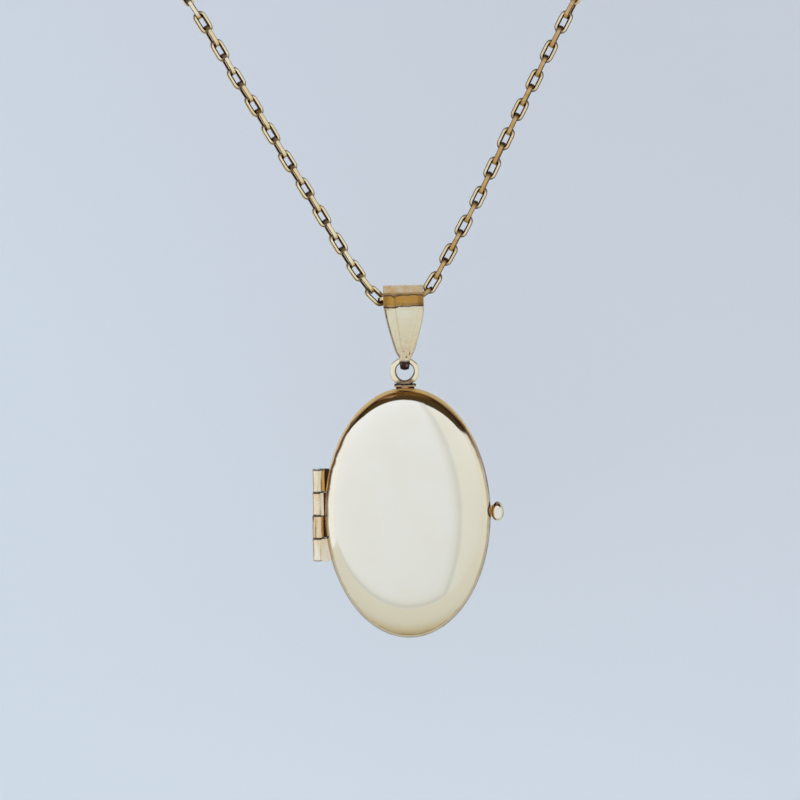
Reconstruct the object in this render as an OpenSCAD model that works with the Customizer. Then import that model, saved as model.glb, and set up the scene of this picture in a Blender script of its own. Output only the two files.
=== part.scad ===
// Oval hinged locket hanging by a folded bail from a cable chain, in millimetres.
// +Z is up, the front cover faces -Y and the catch is on +X.
// The origin is the chain's centre inside the bail, which is the line the bail swings on.

/* [Case] */
// Half width of the oval case
case_half_width = 10; // [8:0.1:13]
// Half height of the oval case
case_half_height = 15.2; // [12:0.1:20]
// Depth of each half, from the parting plane to the middle of its dome
case_depth = 2.95; // [2.6:0.05:4]
// Thickness of the case walls
case_wall = 0.45; // [0.4:0.05:0.5]
// Squareness of the dome's shoulder, 2 being an ellipse
dome_power = 2.8; // [2.2:0.1:3.6]
// Gap left at the seam on each side of the parting plane
seam_gap = 0.04; // [0.02:0.01:0.06]
// Height of the case's centre
case_z = -26; // [-32:0.1:-25.5]

/* [Inner bezel and picture frames] */
// Thickness of the inner bezel's band
bezel_wall = 0.35; // [0.25:0.05:0.5]
// How far the inner bezel stands into the cover
bezel_rise = 0.7; // [0.4:0.05:0.75]
// Width of the picture frames' face
frame_width = 0.9; // [0.5:0.1:1.6]
// Thickness of the picture cards
card_thickness = 0.2; // [0.1:0.05:0.2]
// Thickness of the clear windows
window_thickness = 0.12; // [0.1:0.01:0.14]

/* [Hinge] */
// Distance from the case's middle to the hinge pin
hinge_offset = 10.8; // [10.8:0.05:11.2]
// Outer radius of the knuckles
knuckle_r = 0.75; // [0.65:0.01:0.75]
// Length of one knuckle and the gap beside it
knuckle_pitch = 2.8; // [2.2:0.1:3]
// Gap between neighbouring knuckles
knuckle_gap = 0.08; // [0.04:0.01:0.15]
// Radius of the hinge pin
pin_r = 0.3; // [0.25:0.01:0.35]
// Radial clearance of the pin in the cover's knuckles
pin_clearance = 0.04; // [0.02:0.01:0.08]

/* [Catch] */
// Half width of the catch bead
bead_r = 0.76; // [0.5:0.02:0.8]
// Half length of the catch bead
bead_half_length = 1.2; // [0.8:0.05:1.5]

/* [Eye] */
// Height of the eye ring's centre
eye_z = -8.8; // [-8.9:0.05:-8.7]
// Radius of the eye ring's centre line
eye_mid_r = 1.37; // [1.3:0.01:1.45]
// Radius of the eye ring's wire
eye_wire_r = 0.32; // [0.28:0.01:0.34]

/* [Bail] */
// Inner radius of the fold over the chain, at its top and both shoulders
bail_top_r = 0.68; // [0.6:0.02:0.8]
// Distance from the bail's middle plane to the crease above each leaf
bail_crease = 2.1; // [1.8:0.05:2.2]
// Inner radius of the fold around the eye ring
bail_eye_r = 0.46; // [0.42:0.01:0.5]
// Thickness of the bail's metal
bail_wall = 0.42; // [0.35:0.01:0.45]
// Height of the lower fold's centre
bail_eye_z = -7.55; // [-7.6:0.01:-7.5]
// Half width of the bail at the top
bail_half_width = 2.4; // [2:0.1:2.6]
// Half width of the bail at the lower fold
bail_tip_half_width = 0.6; // [0.5:0.05:0.65]

/* [Chain] */
// Radius of the plain tube that stands for the links
chain_r = 0.7; // [0.5:0.05:0.75]
// Radius of the jump rings' centre line
jump_mid_r = 1.1; // [1:0.05:1.3]
// Radius of the jump rings' wire
jump_wire_r = 0.25; // [0.2:0.01:0.3]

/* [Clasp] */
// Radius of the spring ring's centre line
clasp_mid_r = 2.6; // [2.4:0.1:3.2]
// Outer radius of the spring ring's tube
clasp_tube_r = 0.55; // [0.5:0.01:0.6]
// Wall of the spring ring's tube
clasp_tube_wall = 0.19; // [0.15:0.01:0.2]
// Radius of the sliding trigger wire
trigger_r = 0.28; // [0.24:0.01:0.3]
// Radius of the hole in the end tag
tag_hole_r = 1.3; // [1:0.05:1.5]
// Thickness of the end tag
tag_thickness = 0.6; // [0.4:0.05:0.8]

/* [Hidden] */
$fn = 96;
// Inner oval of both halves, and the bezel's narrower step where it stands in the cover.
in_w = case_half_width - case_wall;
in_h = case_half_height * in_w / case_half_width;
lip = in_w - 0.18;
lip_h = in_h - 0.24;
// Right strand and left strand, as stations in X and Z going out from the bail.
right_route = [
  [0, 0], [1.6, 0], [2.7, 0.15], [3.6, 1.4], [5.5, 4.9], [7.4, 8.3], [9.1, 11.7], [10.8, 15.1],
  [12.5, 18.6], [14.2, 22], [16, 25.4], [17.8, 28.9], [19.6, 32.3], [21.3, 35.4], [22.9, 38.4]
];
left_route = [
  [0, 0], [-1.6, -0.1], [-2.7, -0.2], [-3.7, 0.8], [-5.8, 3.7], [-7.8, 7], [-9.7, 10.3],
  [-11.6, 13.6], [-13.6, 16.9], [-15.5, 20.2], [-17.4, 23.5], [-19.4, 26.8], [-21.3, 30.2],
  [-23.2, 33.5], [-25, 36.4], [-26.6, 38.9]
];
route = concat([for (i = [len(left_route) - 1 : -1 : 1]) left_route[i]], right_route);
left_end = left_route[15];
right_end = right_route[14];
left_dir = 122;
right_dir = 62;
// Distances out along a strand's last direction: jump ring, eyelet or tag, and clasp centre.
jump_out = jump_mid_r + jump_wire_r + 0.08;
eyelet_mid_r = 0.8;
eyelet_out = jump_out + jump_mid_r + 0.2;
clasp_out = eyelet_out + eyelet_mid_r + jump_wire_r + clasp_mid_r + clasp_tube_r - 0.12;
tag_out = eyelet_out + 2.6;
// Rounds of the bail's side, anticlockwise: crease, shoulder, top, shoulder, crease, lower fold.
bail_rounds = [
  [bail_crease, -0.75, 0.05], [0.8, -0.03, bail_top_r], [0, 0.47, bail_top_r],
  [-0.8, -0.03, bail_top_r], [-bail_crease, -0.75, 0.05], [0, bail_eye_z, bail_eye_r]
];
bead_x = case_half_width + 0.06 + bead_r;
gap_from = 25;
gap_to = 70;

// ---- Shared shapes ----

// Quarter of the dome's section on a unit radius and a unit depth, from the rim to the middle.
function quarter(radius, depth) = [for (i = [0 : 14]) let (t = 90 * i / 14)
  [radius * pow(max(cos(t), 0), 2 / dome_power), depth * pow(sin(t), 2 / dome_power)]];

// Revolves a section in two half turns and stretches it to the case's oval, dome towards +Y.
module oval_revolve(section) {
  translate([0, 0, case_z])
    rotate([-90, 0, 0])
      scale([case_half_width, case_half_height, case_depth])
        union() {
          rotate_extrude(angle = 180) polygon(section);
          rotate([0, 0, 180]) rotate_extrude(angle = 180) polygon(section);
        }
}

// The case half as a solid, its flat side on y = 0.
module dome() {
  oval_revolve(concat([[0, 0]], quarter(1, 1)));
}

// The case half as a shell that stops short of the parting plane.
module half_shell() {
  outer = quarter(1, 1);
  inner = quarter(in_w / case_half_width, 1 - case_wall / case_depth);
  rim = seam_gap / case_depth;
  oval_revolve(concat(
    [[outer[0][0], rim]], [for (i = [1 : 14]) outer[i]],
    [for (i = [14 : -1 : 1]) inner[i]], [[inner[0][0], rim]]
  ));
}

// A flat oval plate from y0 to y1.
module oval_plate(w, h, y0, y1) {
  translate([0, y1, case_z])
    rotate([90, 0, 0])
      linear_extrude(y1 - y0)
        scale([w, h]) circle(1);
}

// An oval band of a given width, from y0 to y1.
module oval_band(w, h, band, y0, y1) {
  difference() {
    oval_plate(w, h, y0, y1);
    oval_plate(w - band, h - band, y0 - 0.1, y1 + 0.1);
  }
}

// One hinge knuckle, n counted from the top, with its foot on the half at side = 1 or -1.
module knuckle(n, side, bore_r) {
  z0 = case_z + (1 - n) * knuckle_pitch + knuckle_gap / 2;
  length = knuckle_pitch - knuckle_gap;
  difference() {
    union() {
      translate([-hinge_offset, 0, z0]) cylinder(r = knuckle_r, h = length);
      translate([-hinge_offset, side > 0 ? 0.12 : -0.62, z0]) cube([2.4, 0.5, length]);
    }
    translate([-hinge_offset, 0, z0 - 1]) cylinder(r = bore_r, h = length + 2);
    mirror([0, side > 0 ? 0 : 1, 0]) dome();
  }
}

// A wire ring lying in the XZ plane.
module ring_xz(mid_r, wire_r) {
  rotate([90, 0, 0])
    rotate_extrude()
      translate([mid_r, 0]) circle(wire_r);
}

// Puts its children at a distance out along a strand's end, with +X along the strand.
module at_strand(end, dir, out) {
  translate([end[0], 0, end[1]])
    rotate([0, -dir, 0])
      translate([out, 0, 0]) children();
}

// An arc of the clasp's ring, swept from one angle to another around the clasp's centre.
module clasp_arc(from, to) {
  rotate([90, 0, 0])
    rotate_extrude(angle = to - from, start = from)
      translate([clasp_mid_r, 0]) children();
}

// A round wire swept through given points, each ring square to the path, capped at both ends.
module swept_wire(points, wire_r, sides, up) {
  last = len(points) - 1;
  tangents = [for (i = [0 : last]) let (d = points[min(i + 1, last)] - points[max(i - 1, 0)]) d / norm(d)];
  verts = [for (i = [0 : last]) let (
      n = cross(up, tangents[i]) / norm(cross(up, tangents[i])),
      b = cross(tangents[i], n))
    for (k = [0 : sides - 1]) points[i] + wire_r * (cos(360 * k / sides) * n + sin(360 * k / sides) * b)];
  walls = [for (i = [0 : last - 1]) for (k = [0 : sides - 1]) let (k2 = (k + 1) % sides)
    [i * sides + k, (i + 1) * sides + k, (i + 1) * sides + k2, i * sides + k2]];
  start_cap = [for (k = [0 : sides - 1]) k];
  end_cap = [for (k = [sides - 1 : -1 : 0]) last * sides + k];
  polyhedron(verts, concat(walls, [start_cap, end_cap]), convexity = 10);
}

// ---- Back half ----

module back_case() {
  color([0.86, 0.72, 0.45]) half_shell();
}

module inner_bezel() {
  color([0.84, 0.68, 0.4]) {
    oval_band(lip, lip_h, bezel_wall, -bezel_rise, 0.1);
    oval_band(in_w - 0.01, in_h - 0.01, bezel_wall + 0.07, 0.05, 0.6);
  }
}

module rear_picture_frame() {
  color([0.84, 0.68, 0.4]) oval_band(9.05, 13.95, frame_width, 0.64, 0.98);
}

module rear_window() {
  color([0.9, 0.95, 1, 0.4]) oval_plate(8.95, 13.75, 1, 1 + window_thickness);
}

module rear_picture_card() {
  color([0.95, 0.93, 0.88]) oval_plate(8.75, 13.4, 1.14, 1.14 + card_thickness);
}

// ---- Cover ----

module front_cover() {
  color([0.88, 0.75, 0.48])
    difference() {
      mirror([0, 1, 0]) half_shell();
      translate([case_half_width + 0.75, 0, case_z])
        rotate([90, 0, 0])
          translate([0, 0, -1]) cylinder(r = 1.08, h = 1.9);
    }
}

module front_picture_frame() {
  color([0.84, 0.68, 0.4]) oval_band(8.95, 13.7, frame_width, -1.15, -0.82);
}

module front_window() {
  color([0.9, 0.95, 1, 0.4]) oval_plate(8.8, 13.45, -1.17 - window_thickness, -1.17);
}

module front_picture_card() {
  color([0.95, 0.93, 0.88]) oval_plate(8.5, 12.95, -1.32 - card_thickness, -1.32);
}

// ---- Hinge and catch ----

module case_knuckle_upper() {
  color([0.84, 0.68, 0.4]) knuckle(0, 1, pin_r - 0.005);
}

module case_knuckle_lower() {
  color([0.84, 0.68, 0.4]) knuckle(2, 1, pin_r - 0.005);
}

module cover_knuckle_upper() {
  color([0.88, 0.75, 0.48]) knuckle(1, -1, pin_r + pin_clearance);
}

module cover_knuckle_lower() {
  color([0.88, 0.75, 0.48]) knuckle(3, -1, pin_r + pin_clearance);
}

module hinge_pin() {
  color([0.8, 0.64, 0.36])
    translate([-hinge_offset, 0, case_z - 2 * knuckle_pitch])
      cylinder(r = pin_r, h = 4 * knuckle_pitch);
}

module catch_bead() {
  color([0.88, 0.75, 0.48])
    translate([bead_x, 0, case_z])
      scale([bead_r, bead_r, bead_half_length]) sphere(1);
}

// Small bracket that carries the bead on the back half's rim.
module catch_stem() {
  color([0.84, 0.68, 0.4])
    difference() {
      translate([case_half_width - 0.3, 0.15, case_z - 0.7]) cube([1, 0.5, 1.4]);
      dome();
      translate([bead_x, 0, case_z])
        scale([bead_r, bead_r, bead_half_length]) sphere(1);
    }
}

// ---- Eye ----

module eye_ring() {
  color([0.84, 0.68, 0.4])
    translate([0, 0, eye_z]) ring_xz(eye_mid_r, eye_wire_r);
}

// Saddle under the eye ring, with a short neck down to the back half's rim.
module eye_foot() {
  color([0.84, 0.68, 0.4])
    difference() {
      union() {
        translate([-1.3, -0.42, case_z + case_half_height + 0.16]) cube([2.6, 0.84, 0.45]);
        translate([-0.4, 0.06, case_z + case_half_height - 0.2]) cube([0.8, 0.36, 0.4]);
      }
      dome();
      translate([0, 0, eye_z]) ring_xz(eye_mid_r, eye_wire_r);
    }
}

// ---- Bail ----

// Outward direction of the straight side that touches two rounds, each one [y, z, radius].
function side_normal(a, b) =
  let (d = [b[0] - a[0], b[1] - a[1]], l = norm(d), s = (a[2] - b[2]) / l, c = sqrt(1 - s * s))
  [(d[1] * c + d[0] * s) / l, (d[1] * s - d[0] * c) / l];

// Side outline of the folded strip: six rounds and the straight sides between them.
module bail_side(grow) {
  rounds = [for (r = bail_rounds) [r[0], r[1], r[2] + grow]];
  for (r = rounds) translate([r[0], r[1]]) circle(r[2]);
  polygon([
    for (i = [0 : 5])
      let (a = rounds[i], b = rounds[(i + 1) % 6], n = side_normal(a, b))
      each [
        [a[0] + a[2] * n[0], a[1] + a[2] * n[1]],
        [b[0] + b[2] * n[0], b[1] + b[2] * n[1]]
      ]
  ]);
}

// The strip swept across the bail's width.
module bail_strip() {
  rotate([90, 0, 90])
    translate([0, 0, -bail_half_width])
      linear_extrude(2 * bail_half_width)
        difference() {
          bail_side(bail_wall);
          bail_side(0);
        }
}

// Front outline, tapering to the tip that passes through the eye.
module bail_outline() {
  tip = bail_tip_half_width;
  wide = bail_half_width;
  half = [
    [wide, 3], [wide, -1.3], [wide - 0.2, -2.6], [1.72, -4.5], [1.22, -6.3],
    [tip + 0.04, -7.3], [tip, -9]
  ];
  translate([0, 3, 0])
    rotate([90, 0, 0])
      linear_extrude(6)
        polygon(concat(half, [for (i = [len(half) - 1 : -1 : 0]) [-half[i][0], half[i][1]]]));
}

// Cuts one sloping side facet along the front leaf.
module bail_facet() {
  translate([1.25, -2.46, -1.1])
    rotate([14.2, 7.5, 13])
      translate([0, -2, -9]) cube([4, 2, 9.4]);
}

module bail() {
  color([0.88, 0.75, 0.48])
    difference() {
      intersection() {
        bail_strip();
        bail_outline();
      }
      bail_facet();
      mirror([1, 0, 0]) bail_facet();
    }
}

// ---- Chain and its ends ----

module chain() {
  color([0.84, 0.7, 0.42])
    swept_wire([for (p = route) [p[0], 0, p[1]]], chain_r, 8, [0, 1, 0]);
}

module clasp_jump_ring() {
  color([0.84, 0.7, 0.42])
    at_strand(left_end, left_dir, jump_out)
      rotate([90, 0, 0]) ring_xz(jump_mid_r, jump_wire_r);
}

module clasp_eyelet() {
  color([0.84, 0.7, 0.42])
    at_strand(left_end, left_dir, eyelet_out) ring_xz(eyelet_mid_r, jump_wire_r);
}

// Spring ring: a C of tube with a slot for the thumb nib and a stop for the spring.
module clasp_body() {
  color([0.86, 0.72, 0.45])
    at_strand(left_end, left_dir, clasp_out)
      difference() {
        clasp_arc(gap_to, gap_from + 360) circle(clasp_tube_r);
        clasp_arc(gap_to - 1, 210) circle(clasp_tube_r - clasp_tube_wall);
        clasp_arc(214, gap_from + 361) circle(clasp_tube_r - clasp_tube_wall);
        clasp_arc(292, 356) translate([0.1, -0.19]) square([1, 0.38]);
      }
}

module clasp_trigger() {
  color([0.88, 0.75, 0.48])
    at_strand(left_end, left_dir, clasp_out) {
      clasp_arc(-22, 73) circle(trigger_r);
      rotate([0, 10, 0])
        translate([clasp_mid_r, 0, 0])
          rotate([0, 90, 0]) cylinder(r = 0.15, h = 0.95);
      rotate([0, 10, 0])
        translate([clasp_mid_r + 0.98, 0, 0]) sphere(0.24);
    }
}

// Coil spring behind the trigger wire, following the tube.
module clasp_spring() {
  turns = 14;
  per_turn = 9;
  color([0.75, 0.75, 0.76])
    at_strand(left_end, left_dir, clasp_out)
      swept_wire([for (i = [0 : turns * per_turn]) let (
          a = 216 + 120 * i / (turns * per_turn),
          c = 360 * i / per_turn,
          r = clasp_mid_r + 0.25 * cos(c))
        [r * cos(a), 0.25 * sin(c), r * sin(a)]], 0.05, 5, [0.3, 1, 0.2]);
}

module end_jump_ring() {
  color([0.84, 0.7, 0.42])
    at_strand(right_end, right_dir, jump_out)
      rotate([90, 0, 0]) ring_xz(jump_mid_r, jump_wire_r);
}

// Flat end tag that the clasp hooks into, with a small hole for its jump ring.
module end_tag() {
  color([0.86, 0.72, 0.45])
    at_strand(right_end, right_dir, 0)
      translate([0, tag_thickness / 2, 0])
        rotate([90, 0, 0])
          linear_extrude(tag_thickness)
            difference() {
              union() {
                translate([eyelet_out, 0]) circle(1.05);
                translate([tag_out, 0]) circle(tag_hole_r + 0.7);
                polygon([
                  [eyelet_out, 1.05], [eyelet_out, -1.05], [tag_out, -tag_hole_r - 0.7],
                  [tag_out, tag_hole_r + 0.7]
                ]);
              }
              translate([eyelet_out, 0]) circle(0.55);
              translate([tag_out, 0]) circle(tag_hole_r);
            }
}

back_case();
inner_bezel();
rear_picture_card();
rear_window();
rear_picture_frame();
front_cover();
front_picture_card();
front_window();
front_picture_frame();
case_knuckle_upper();
case_knuckle_lower();
cover_knuckle_upper();
cover_knuckle_lower();
hinge_pin();
catch_bead();
catch_stem();
eye_ring();
eye_foot();
bail();
chain();
clasp_jump_ring();
clasp_body();
clasp_eyelet();
clasp_trigger();
clasp_spring();
end_jump_ring();
end_tag();
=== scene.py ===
"""Looks for the oval locket: shells, chain links, bail, hinge, materials, stage and camera."""
import math

import bpy
from mathutils import Matrix, Vector
from mathutils import noise

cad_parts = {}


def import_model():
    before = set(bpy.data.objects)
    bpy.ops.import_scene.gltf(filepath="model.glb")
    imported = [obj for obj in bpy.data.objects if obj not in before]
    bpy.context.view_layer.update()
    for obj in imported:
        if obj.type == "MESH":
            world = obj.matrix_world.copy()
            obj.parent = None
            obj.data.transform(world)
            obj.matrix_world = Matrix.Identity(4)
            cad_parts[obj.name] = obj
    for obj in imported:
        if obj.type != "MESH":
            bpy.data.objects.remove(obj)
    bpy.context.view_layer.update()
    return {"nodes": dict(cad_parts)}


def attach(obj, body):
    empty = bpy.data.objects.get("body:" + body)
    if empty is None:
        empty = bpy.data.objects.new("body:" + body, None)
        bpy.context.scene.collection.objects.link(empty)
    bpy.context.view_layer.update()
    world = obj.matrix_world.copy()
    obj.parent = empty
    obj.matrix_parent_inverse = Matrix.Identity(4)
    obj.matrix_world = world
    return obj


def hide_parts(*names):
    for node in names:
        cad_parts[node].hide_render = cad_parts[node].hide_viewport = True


MM = 0.001
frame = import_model()

# Sizes of the CAD model, in millimetres.
# One half of the case: half width, half height, depth, wall, and the power of its domed section.
HALF_WIDE, HALF_HIGH, DEPTH, WALL, POWER = 10.0, 15.2, 2.95, 0.45, 2.8
IN_WIDE = HALF_WIDE - WALL
IN_HIGH = HALF_HIGH * IN_WIDE / HALF_WIDE
# From the parting plane to each half's rim.
GAP = 0.04
# Heights of the case's middle and of the eye ring's centre, and the hinge pin's place across.
CASE_Z, EYE_Z, HINGE_X = -26.0, -8.8, -10.8
# Thickness of the bail's strip.
BAIL_WALL = 0.42

# Base colours of the dark marks, mostly painted shade in creases, gaps and edges with some dirt, and of the
# amber marks, mostly painted shade and reflection with some dull film.
SHADE_AND_DIRT = (0.045, 0.017, 0.010)
AMBER = (0.97, 0.49, 0.07)


# ---------------------------------------------------------------- camera
def place_camera():
    data = bpy.data.cameras.new("camera")
    data.sensor_width = 36
    data.lens = 150
    data.clip_start, data.clip_end = 0.01, 50
    cam = bpy.data.objects.new("camera", data)
    bpy.context.scene.collection.objects.link(cam)
    aim = Vector((-0.65, 0, -12.25)) * MM
    lift, far, roll = math.radians(7.0), 400 * MM, math.radians(1.2)
    back = Vector((0, -math.cos(lift), math.sin(lift)))
    turn = (-back).to_track_quat("-Z", "Y").to_matrix().to_4x4()
    cam.matrix_world = Matrix.Translation(aim + back * far) @ turn @ Matrix.Rotation(-roll, 4, "Z")
    bpy.context.scene.camera = cam


place_camera()


# ---------------------------------------------------------------- materials
def shader(name):
    """A new material with its node tree and its main shader node."""
    mat = bpy.data.materials.new(name)
    mat.use_nodes = True
    nt = mat.node_tree
    return mat, nt, nt.nodes["Principled BSDF"]


def link(nt, a, out, b, inp):
    """Joins node a's socket out to node b's socket inp, both by name or number."""
    nt.links.new(a.outputs[out], b.inputs[inp])


def coords(nt, scale):
    """The object's own coordinates, stretched along each axis."""
    where = nt.nodes.new("ShaderNodeTexCoord")
    place = nt.nodes.new("ShaderNodeMapping")
    place.inputs["Scale"].default_value = scale
    link(nt, where, "Object", place, "Vector")
    return place


def span_of(nt, source, out, low, high, to_low=0.0, to_high=1.0):
    """Maps a value from low..high to to_low..to_high, clamped."""
    span = nt.nodes.new("ShaderNodeMapRange")
    span.inputs["From Min"].default_value, span.inputs["From Max"].default_value = low, high
    span.inputs["To Min"].default_value, span.inputs["To Max"].default_value = to_low, to_high
    link(nt, source, out, span, "Value")
    return span


def blend_colour(nt, factor, a, b):
    """Mix node between two colours, each a plain colour or the node whose first colour output gives it."""
    mix = nt.nodes.new("ShaderNodeMix")
    mix.data_type = "RGBA"
    nt.links.new(factor.outputs[0], mix.inputs["Factor"])
    for socket, colour in ((mix.inputs[6], a), (mix.inputs[7], b)):
        if isinstance(colour, tuple):
            socket.default_value = (*colour, 1)
        else:
            nt.links.new(next(o for o in colour.outputs if o.enabled and o.type == "RGBA"), socket)
    return mix


def fine_noise(nt, scale, detail, stretch=(1, 1, 1)):
    """Noise node on the object's own coordinates."""
    tex = nt.nodes.new("ShaderNodeTexNoise")
    tex.inputs["Scale"].default_value = scale
    tex.inputs["Detail"].default_value = detail
    link(nt, coords(nt, stretch), "Vector", tex, "Vector")
    return tex


def arithmetic(nt, operation, *values):
    """Math node on plain floats and sockets."""
    node = nt.nodes.new("ShaderNodeMath")
    node.operation = operation
    for k, value in enumerate(values):
        if isinstance(value, float):
            node.inputs[k].default_value = value
        else:
            nt.links.new(value, node.inputs[k])
    return node


def rim_painted_light(nt, clean):
    """Painted reflection and shade on the rim by the parting plane: a gold highlight then a dark line on the
    left and upper part, a dark edge then a pale band lower right, brown then pale at the bottom, and painted
    shade round the nail notch.
    """
    where = nt.nodes.new("ShaderNodeTexCoord")
    split = nt.nodes.new("ShaderNodeSeparateXYZ")
    link(nt, where, "Object", split, "Vector")
    away = arithmetic(nt, "ABSOLUTE", split.outputs["Y"])
    uneven = arithmetic(nt, "MULTIPLY_ADD", fine_noise(nt, 700, 4).outputs["Fac"], 0.0005, away.outputs[0])
    height = span_of(nt, split, "Z", -0.031, -0.022)
    below = span_of(nt, split, "Z", -0.021, -0.016, 1.0, 0.0)
    right = arithmetic(nt, "MULTIPLY", span_of(nt, split, "X", 0.0, 0.002).outputs[0], below.outputs[0])
    # gilt is a painted highlight; dark and pale are painted shade and reflection.
    gilt, dark, pale = (1.0, 0.62, 0.18), (0.17, 0.08, 0.04), (0.84, 0.68, 0.44)
    edge = blend_colour(nt, height, (0.34, 0.21, 0.10), blend_colour(nt, right, gilt, dark))
    line = blend_colour(nt, height, (0.72, 0.57, 0.35), blend_colour(nt, right, dark, pale))
    line = blend_colour(nt, span_of(nt, split, "Z", -0.0150, -0.0128), line, (0.60, 0.39, 0.17))
    past = span_of(nt, uneven, "Value", 0.0011, 0.00125)
    rim = blend_colour(nt, past, edge, line)
    left = arithmetic(nt, "SUBTRACT", 1.0, right.outputs[0])
    on_edge = arithmetic(nt, "SUBTRACT", 1.0, past.outputs[0])
    # This mask marks the painted gold highlight on the edge up the left, made less metallic so it shows gold
    # whatever it faces.
    amber_light_and_film = arithmetic(nt, "MULTIPLY", on_edge.outputs[0], height.outputs[0])
    amber_light_and_film = arithmetic(nt, "MULTIPLY", amber_light_and_film.outputs[0], left.outputs[0])
    colour = blend_colour(nt, span_of(nt, uneven, "Value", 0.0015, 0.0017), rim, clean)
    # Painted shade in the nail notch: a dark ring round it and darker gold inside it.
    across = arithmetic(nt, "SUBTRACT", split.outputs["X"], (HALF_WIDE + 0.95) * MM)
    along = arithmetic(nt, "SUBTRACT", split.outputs["Z"], (CASE_Z + 0.25) * MM)
    along2 = arithmetic(nt, "MULTIPLY", along.outputs[0], along.outputs[0])
    spread = arithmetic(nt, "MULTIPLY_ADD", across.outputs[0], across.outputs[0], along2.outputs[0])
    reach = arithmetic(nt, "SQRT", spread.outputs[0])
    notch = blend_colour(nt, span_of(nt, reach, 0, 0.00116, 0.00122), (0.66, 0.46, 0.21), SHADE_AND_DIRT)
    return blend_colour(nt, span_of(nt, reach, 0, 0.00134, 0.00142), notch, colour), amber_light_and_film


def roughen(nt, bsdf, texture, strength, distance):
    """Bump from a noise node, its distance in metres."""
    bump = nt.nodes.new("ShaderNodeBump")
    bump.inputs["Strength"].default_value = strength
    bump.inputs["Distance"].default_value = distance
    link(nt, texture, "Fac", bump, "Height")
    link(nt, bump, "Normal", bsdf, "Normal")


def painted(nt, name, low=0.8, high=1.25):
    """The strength of a mark painted on the mesh, mostly painted shade and reflection with some dirt, broken
    up by fine specks.
    """
    where = nt.nodes.new("ShaderNodeAttribute")
    where.attribute_name = name
    specks = span_of(nt, fine_noise(nt, 3200, 3), "Fac", 0.3, 0.7, low, high)
    painted_mark = arithmetic(nt, "MULTIPLY", where.outputs["Fac"], specks.outputs[0])
    painted_mark.use_clamp = True
    return painted_mark


def gold(name, light, deep, rough, wear=0.25, scratch=0.06, rim=False):
    """Gold plate: warmer patches, painted amber and dark marks that are mostly shade and reflection with some
    film and dirt, fine scratches, roughness that varies.
    """
    mat, nt, bsdf = shader(name)
    patches = fine_noise(nt, 260, 5)
    colour = blend_colour(nt, span_of(nt, patches, "Fac", 0.36, 0.36 + wear), deep, light)
    # The amber mark: mostly painted shade and reflection, with some dull film; it also makes the metal
    # duller.
    amber_light_and_film = painted(nt, "amber", 0.7, 1.15)
    if rim:
        colour, amber_light_and_film = rim_painted_light(nt, colour)
    else:
        colour = blend_colour(nt, amber_light_and_film, colour, AMBER)
    # The dark mark: mostly painted shade in creases, gaps and edges, with some dirt.
    colour = blend_colour(nt, painted(nt, "shade_and_dirt"), colour, SHADE_AND_DIRT)
    nt.links.new(colour.outputs[2], bsdf.inputs["Base Color"])
    nt.links.new(span_of(nt, amber_light_and_film, 0, 0.0, 1.0, 1.0, 0.3).outputs[0], bsdf.inputs["Metallic"])
    smear = fine_noise(nt, 900, 3, (1, 1, 0.35))
    shine = span_of(nt, smear, "Fac", 0.0, 1.0, rough * 0.7, rough * 1.5)
    dull = arithmetic(nt, "MULTIPLY_ADD", amber_light_and_film.outputs[0], 0.25, shine.outputs[0])
    nt.links.new(dull.outputs[0], bsdf.inputs["Roughness"])
    roughen(nt, bsdf, fine_noise(nt, 2600, 6, (1, 1, 0.08)), scratch, 0.00002)
    return mat


POLISHED = gold("gold_polished", (0.94, 0.83, 0.62), (0.90, 0.77, 0.54), 0.08, scratch=0.05)
RING_GOLD = gold("gold_ring", (1.0, 0.84, 0.53), (0.93, 0.75, 0.44), 0.12, scratch=0.1)
CASE_GOLD = gold("gold_case", (0.93, 0.82, 0.60), (0.92, 0.803, 0.578), 0.07, scratch=0.05, rim=True)
BAIL_GOLD = gold("gold_bail", (0.97, 0.87, 0.64), (0.92, 0.77, 0.50), 0.15, wear=0.2, scratch=0.22)
HINGE_GOLD = gold("gold_hinge", (0.96, 0.85, 0.62), (0.88, 0.71, 0.44), 0.15, scratch=0.18)
CHAIN_GOLD = gold("gold_chain", (1.0, 0.88, 0.58), (0.92, 0.70, 0.36), 0.13, scratch=0.12)
STEM_GOLD = gold("gold_stem", (0.84, 0.58, 0.24), (0.62, 0.36, 0.12), 0.2, scratch=0.15)
SATIN = gold("gold_satin", (0.88, 0.71, 0.43), (0.78, 0.58, 0.30), 0.32, scratch=0.3)


def card_material():
    mat, nt, bsdf = shader("picture_card")
    grain = fine_noise(nt, 4000, 4)
    tone = nt.nodes.new("ShaderNodeValToRGB")
    tones = ((0.3, (0.80, 0.76, 0.68, 1)), (0.7, (0.88, 0.85, 0.79, 1)))
    for stop, (place, colour) in zip(tone.color_ramp.elements, tones):
        stop.position, stop.color = place, colour
    link(nt, grain, "Fac", tone, "Fac")
    link(nt, tone, "Color", bsdf, "Base Color")
    bsdf.inputs["Roughness"].default_value = 0.85
    roughen(nt, bsdf, grain, 0.3, 0.00003)
    return mat


def window_material():
    mat, nt, bsdf = shader("clear_window")
    bsdf.inputs["Base Color"].default_value = (0.95, 0.97, 1, 1)
    bsdf.inputs["Alpha"].default_value = 0.25
    bsdf.inputs["IOR"].default_value = 1.45
    haze = span_of(nt, fine_noise(nt, 500, 2), "Fac", 0.0, 1.0, 0.04, 0.14)
    link(nt, haze, "Result", bsdf, "Roughness")
    return mat


def steel_material():
    mat, nt, bsdf = shader("spring_wire")
    bsdf.inputs["Metallic"].default_value = 1
    bsdf.inputs["Base Color"].default_value = (0.62, 0.62, 0.64, 1)
    drawn = span_of(nt, fine_noise(nt, 3000, 2), "Fac", 0.0, 1.0, 0.18, 0.34)
    link(nt, drawn, "Result", bsdf, "Roughness")
    return mat


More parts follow.
